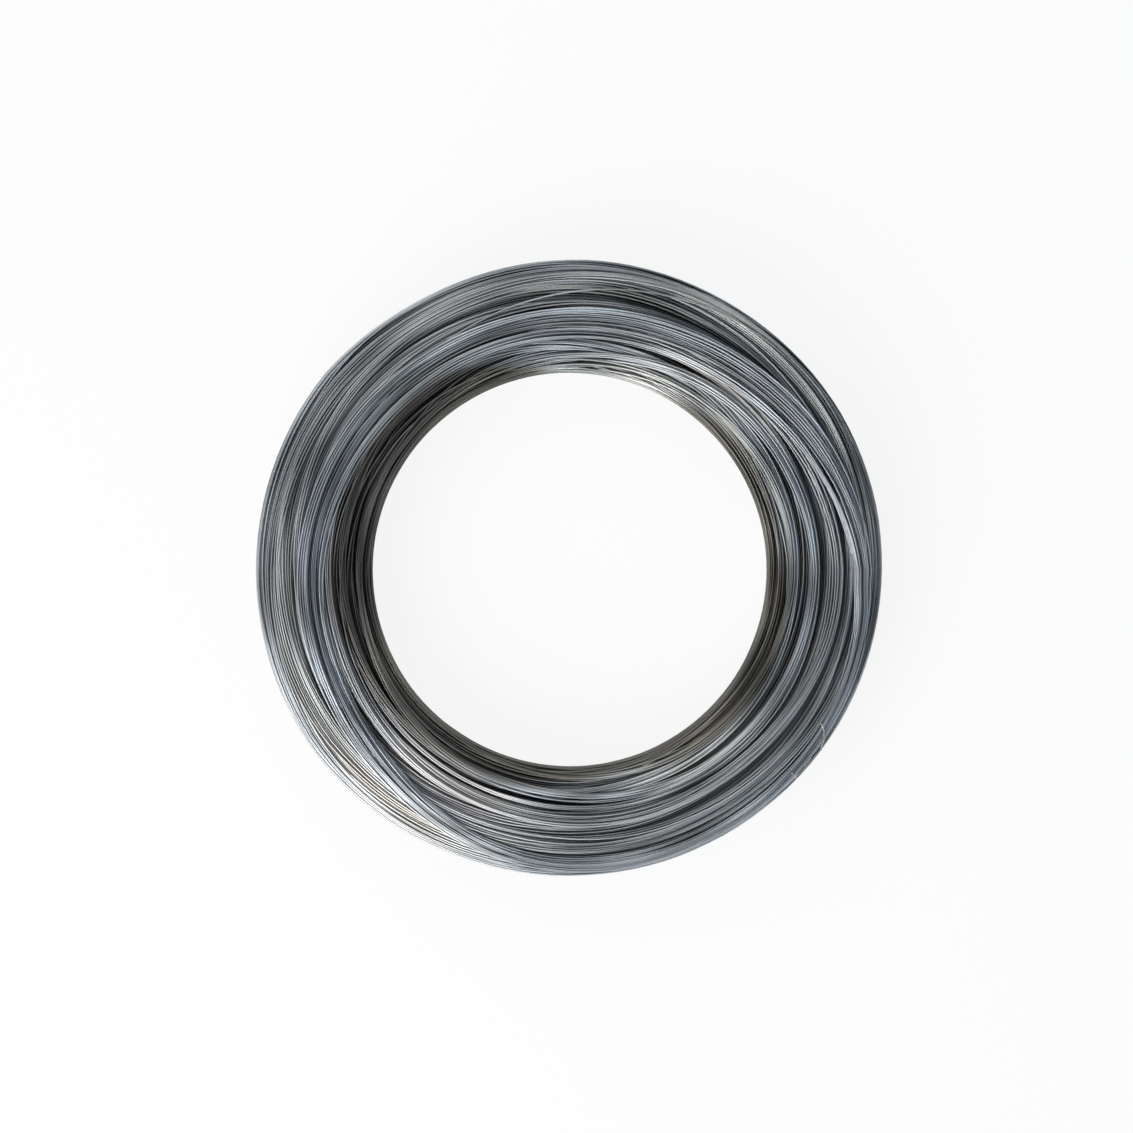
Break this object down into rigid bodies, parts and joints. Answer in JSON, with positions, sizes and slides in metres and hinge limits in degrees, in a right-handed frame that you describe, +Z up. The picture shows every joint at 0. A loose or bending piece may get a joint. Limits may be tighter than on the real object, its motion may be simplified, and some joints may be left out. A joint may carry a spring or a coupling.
{
  "type": "coil of wire",
  "caption": "Flat-lying coil of galvanised steel binding wire, wound with an open round bore and a crowned section, its turns showing in bands.",
  "frame": {"origin": "centre of the bore, on the floor that the coil lies on", "axes": "+Z up along the bore; the end of the wire is turned over the outermost band between +X and -Y"},
  "size_m": [0.395, 0.395, 0.078],
  "materials": {
    "galvanised_wire": "galvanised steel wire, satin and slightly dulled, with lighter and darker turns"
  },
  "bodies": {
    "root": {"wire_coil": "galvanised_wire"}
  },
  "joints": []
}
